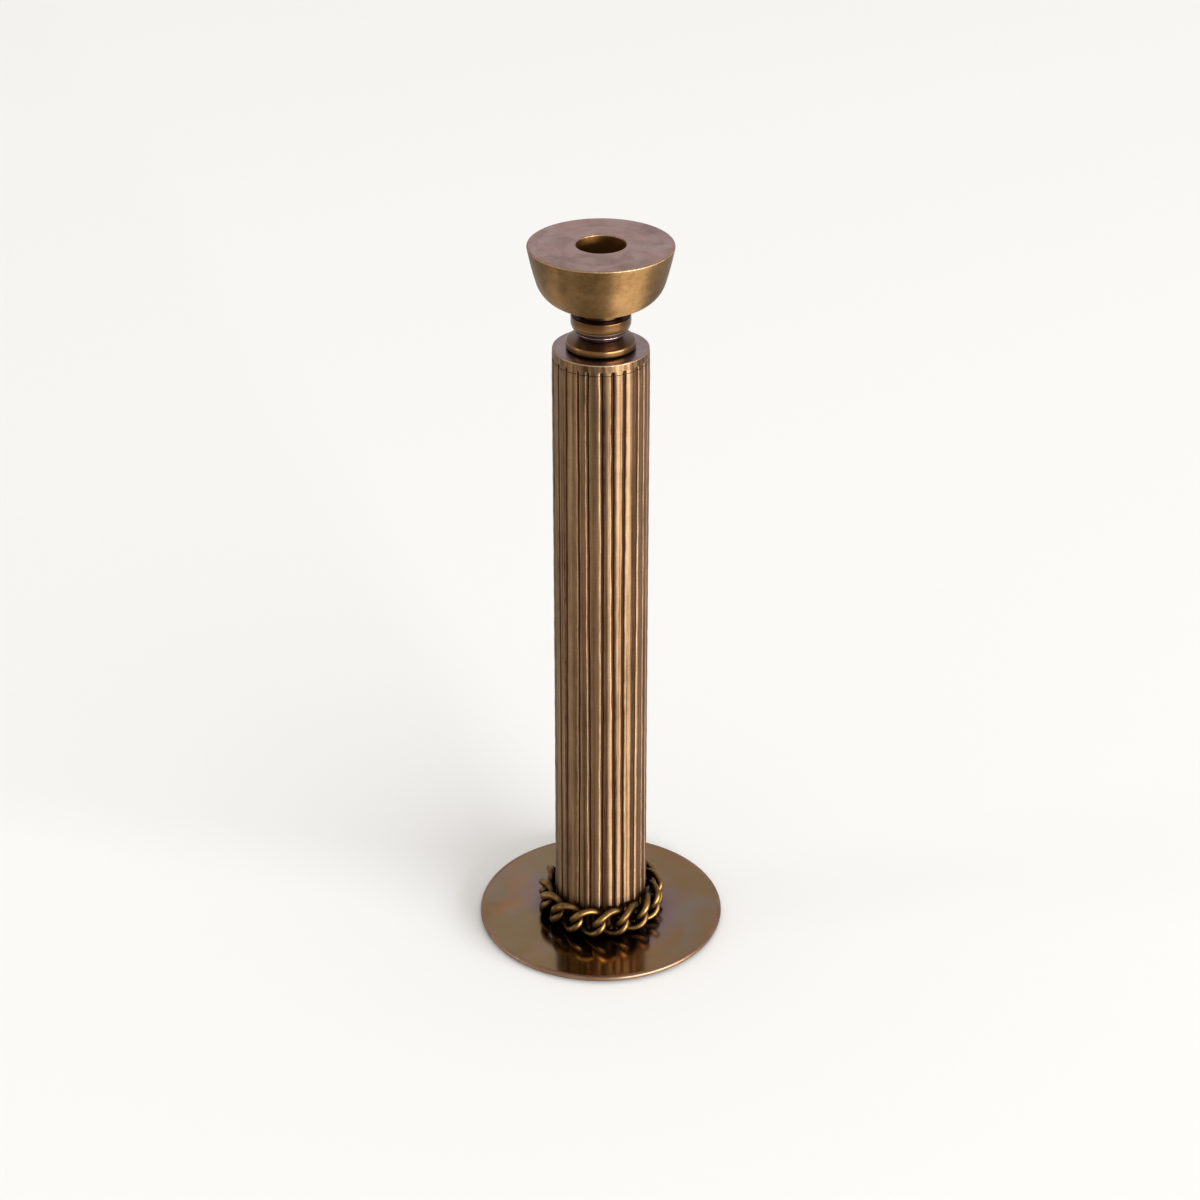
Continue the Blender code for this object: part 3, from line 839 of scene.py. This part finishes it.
def felt_pad(material):
    """Felt disc with a soft, slightly ragged cut edge."""
    source = random.Random(FELT_SEED)
    ragged = [source.uniform(-FELT_RAGGEDNESS, 0.0) for _ in range(FELT_SIDES)]
    radius, thickness = PAD_HIGH.x, PAD_HIGH.z
    middle = radius / 2
    outline = (
        (middle, 1.0),
        (radius - 0.25 * MM, 1.0),
        (radius - 0.05 * MM, 0.8),
        (radius, 0.55),
        (radius, 0.22),
        (radius - 0.2 * MM, 0.0),
        (middle, 0.0),
    )
    points = []
    for ring_radius, share in outline:
        for side in range(FELT_SIDES):
            angle = tau * side / FELT_SIDES
            r = ring_radius if ring_radius == middle else ring_radius + ragged[side]
            points.append((r * cos(angle), r * sin(angle), thickness * share))
    faces = ring_faces(len(outline), FELT_SIDES, closed=False)
    close_ends(points, faces, FELT_SIDES, thickness, 0)
    give(make_piece("felt_foot_pad", points, faces, "stand", "felt_pad"), material)


# --- Neck and cup --------------------------------------------------------------------


def neck_ring(material):
    """Cushion-shaped flange, rounded under where it meets the cap."""
    top, bottom = RING_HIGH.z, RING_LOW.z
    profile = [(NUT_ROOM, top)]
    profile += run(profile[-1], (NECK_RADIUS, top), steps=3)
    profile += bezier(profile[-1], *below(top, RING_SLOPE), steps=8)
    profile += bezier(profile[-1], *below(top, RING_CROWN), steps=10)
    profile += run(profile[-1], (RING_RADIUS, bottom + RING_FOOT_RISE), steps=3)
    foot = [(radius, bottom + rise) for radius, rise in RING_FOOT]
    profile += bezier(profile[-1], *foot, steps=6)
    profile += [(NUT_ROOM, bottom)]
    give(turned("neck_flange", profile, RING_SIDES, "neck_ring"), material)


def notch(depth, middle, size, half_width):
    """How deep a soft notch is cut at a depth down the knop."""
    return size * exp(-(((depth - middle) / half_width) ** 2))


def neck_knop(material):
    """Knop with a straight band above, a round lower half and an engraved line."""
    top, bottom, edge = KNOP_HIGH.z, KNOP_LOW.z, KNOP_EDGE
    widest = (KNOP_RADIUS, top - KNOP_WIDEST_DEPTH)
    bulge = (KNOP_RADIUS, widest[1] - KNOP_BULGE)
    tuck = (NECK_RADIUS + KNOP_TUCK_OUT, bottom + KNOP_TUCK_UP)
    profile = [(HOLE_RADIUS, top)]
    profile += run(profile[-1], (KNOP_RADIUS - 3 * edge, top), steps=4)
    profile += arc(KNOP_RADIUS - KNOP_DRAFT - edge, top - edge, edge, 90, 0, steps=7)
    profile += run(profile[-1], widest, steps=4)
    for radius, height in bezier(widest, bulge, tuck, (NECK_RADIUS, bottom), steps=60):
        cut = notch(top - height, *KNOP_STEP) + notch(top - height, *KNOP_LINE)
        profile.append((radius - cut, height))
    profile += [(NUT_ROOM, bottom), (NUT_ROOM, NUT_ROOM_TOP), (HOLE_RADIUS, NUT_ROOM_TOP)]
    give(turned("turned_knop", profile, RING_SIDES, "neck_knop"), material)


def candle_cup(side, top_face, bore, rim):
    """Solid bowl with a blind, lightly chamfered candle bore."""
    top, edge, chamfer = CUP_HIGH.z, CUP_EDGE, CANDLE_CHAMFER
    bore_floor = top - CANDLE_DEPTH
    rod_end = bore_floor - CUP_FLOOR
    stem_top = top - CUP_DEPTH
    profile = [(0, bore_floor)]
    profile += run(profile[-1], (CANDLE_RADIUS - CANDLE_FILLET, bore_floor), steps=4)
    profile += [(CANDLE_RADIUS, bore_floor + CANDLE_FILLET)]
    profile += run(profile[-1], (CANDLE_RADIUS, top - chamfer), steps=10)
    profile += arc(CANDLE_RADIUS + chamfer, top - chamfer, chamfer, 180, 90, steps=6)[1:]
    profile += run(profile[-1], (CUP_FLAT_RADIUS, top), steps=16)
    profile += arc(CUP_RADIUS - edge, top - edge, edge, 90, 8, steps=8)
    profile += bezier((CUP_RADIUS, top - edge), *below(top, CUP_UPPER_SIDE), steps=18)
    profile += bezier(profile[-1], *below(top, CUP_BELLY), steps=26)
    profile += run(profile[-1], (NECK_RADIUS + STEM_FILLET[0], stem_top + STEM_FILLET[1]), steps=6)
    profile += [(NECK_RADIUS, stem_top), (NECK_RADIUS, stem_top - STEM_BAND), (NECK_RADIUS, CUP_LOW.z)]
    profile += [(HOLE_RADIUS, CUP_LOW.z), (HOLE_RADIUS, rod_end), (0, rod_end)]
    piece = turned("bowl_cup", profile, DISC_SIDES, "candle_cup")
    give(piece, side, top_face, bore, rim)
    flat = top - TOUCH
    paint_faces(piece, 1, lambda centre: centre.z > flat and centre.xy.length > CANDLE_RADIUS + chamfer)
    # The bore's walls and floor get the brass painted dark as shade.
    paint_faces(piece, 2, lambda centre: centre.z > bore_floor - TOUCH and centre.xy.length < CANDLE_RADIUS)
    paint_faces(piece, 3, lambda centre: top - edge < centre.z < flat and centre.xy.length > CANDLE_RADIUS)


# --- Chain ---------------------------------------------------------------------------


def link_line(jitter):
    """Centreline of a curb link: a loop of wire twisted along its length.

    X runs along the ring, Z is up and -Y points out from the column.
    """
    roll = jitter.uniform(-1, 1) * LINK_ROLL
    points = []
    for station in range(LINK_STATIONS):
        turn = tau * station / LINK_STATIONS
        twist = -LINK_TWIST * cos(turn) + roll
        across = LINK_HALF_WIDTH * sin(turn)
        points.append(Vector((LINK_HALF_LENGTH * cos(turn), -across * sin(twist), across * cos(twist))))
    return points


def swept_wire(line):
    """Points of a closed round wire that follows a line."""
    points = []
    for station, centre in enumerate(line):
        along = (line[(station + 1) % len(line)] - line[station - 1]).normalized()
        # The loop's own outward direction never lies along the wire, so it can't flip.
        out = centre - along * centre.dot(along)
        out.normalize()
        beside = along.cross(out)
        for side in range(WIRE_SIDES):
            angle = tau * side / WIRE_SIDES
            points.append(centre + (out * cos(angle) + beside * sin(angle)) * WIRE_RADIUS)
    return points


def chain_ring(material):
    """Closed ring of interlocked links, standing on edge round the foot."""
    low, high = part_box(LINK_NAMES[0])
    middle = (low.z + high.z) / 2
    jitter = random.Random(CHAIN_SEED)
    faces = [tuple(reversed(face)) for face in ring_faces(LINK_STATIONS, WIRE_SIDES, closed=True)]
    for index, node in enumerate(LINK_NAMES):
        angle = tau * (index + FIRST_LINK) / len(LINK_NAMES)
        place = Vector((CHAIN_RADIUS * sin(angle), -CHAIN_RADIUS * cos(angle), middle))
        points = [
            (
                place.x + p.x * cos(angle) - p.y * sin(angle),
                place.y + p.x * sin(angle) + p.y * cos(angle),
                place.z + p.z,
            )
            for p in swept_wire(link_line(jitter))
        ]
        piece = make_piece(f"curb_link_{index + 1:02d}", points, faces, "chain", node)
        give(piece, material)


# --- Stage ---------------------------------------------------------------------------


def floor():
    """Plain pale floor."""
    size = FLOOR_HALF_SIZE
    mesh = bpy.data.meshes.new("floor")
    corners = [(-size, -size, 0), (size, -size, 0), (size, size, 0), (-size, size, 0)]
    mesh.from_pydata(corners, [], [(0, 1, 2, 3)])
    paper = bpy.data.materials.new("pale_paper")
    paper.use_nodes = True
    shader = paper.node_tree.nodes["Principled BSDF"]
    shader.inputs["Base Color"].default_value = (0.87, 0.875, 0.745, 1)
    shader.inputs["Roughness"].default_value = 0.9
    shader.inputs["Specular IOR Level"].default_value = 0.1
    mesh.materials.append(paper)
    plane = bpy.data.objects.new("floor", mesh)
    bpy.context.scene.collection.objects.link(plane)
    plane.location.z = -FLOOR_GAP


def panel(name, azimuth, elevation, distance, width, height, power, color):
    """A soft panel that faces the column, a little above the column's middle.

    Azimuth and elevation are in degrees, and azimuth 0 is the front.
    """
    target = Vector((0, 0, PANEL_TARGET))
    a, e = radians(azimuth), radians(elevation)
    direction = Vector((sin(a) * cos(e), -cos(a) * cos(e), sin(e)))
    light = bpy.data.lights.new(name, "AREA")
    light.shape = "RECTANGLE"
    light.size, light.size_y = width, height
    light.energy = power
    light.color = color
    lamp = bpy.data.objects.new(name, light)
    lamp.location = target + direction * distance
    lamp.rotation_mode = "QUATERNION"
    lamp.rotation_quaternion = (-direction).to_track_quat("-Z", "Y")
    lamp.visible_camera = False
    bpy.context.scene.collection.objects.link(lamp)


def light_studio():
    """Even pale surroundings, a low far panel on the right and a weak one on the left."""
    world = bpy.data.worlds.new("studio")
    world.use_nodes = True
    sky = world.node_tree.nodes["Background"]
    sky.inputs["Color"].default_value = (0.92, 0.885, 1.0, 1)
    sky.inputs["Strength"].default_value = 0.86
    bpy.context.scene.world = world
    panel(
        "key_right", azimuth=47, elevation=6.2, distance=12.0,
        width=12.2, height=2.6, power=5150, color=(0.83, 0.86, 1.0),
    )
    panel(
        "fill_left", azimuth=-80, elevation=12, distance=5.0,
        width=1.4, height=2.0, power=32, color=(0.96, 0.95, 1.0),
    )


def camera():
    """Camera in front of the candlestick, looking down at it."""
    data = bpy.data.cameras.new("camera")
    data.lens = CAMERA_LENS
    data.sensor_width = SENSOR_WIDTH
    item = bpy.data.objects.new("camera", data)
    item.location = (CAMERA_SIDE, -CAMERA_DISTANCE, PLATE_LOW.z + CAMERA_RISE)
    item.rotation_euler = (pi / 2 - CAMERA_PITCH, 0, 0)
    bpy.context.scene.collection.objects.link(item)
    bpy.context.scene.camera = item


# --- Build ---------------------------------------------------------------------------


def build():
    camera()
    column = chased_brass()
    edge = worn_edge()
    neck = polished_neck()
    column_sleeve(column)
    column_cap(column, cap_satin(), edge)
    base_plate(heat_tinted_mirror(), rim_brass())
    felt_pad(wool_felt())
    neck_ring(neck)
    neck_knop(neck)
    candle_cup(cup_brass(), cup_satin(), bore_shade_brass(), edge)
    chain_ring(rubbed_chain())
    steel = plated_steel()
    for node in FIXINGS:
        give(NODES[node], steel)
    floor()
    light_studio()
    bpy.context.scene.view_settings.view_transform = "Standard"


build()
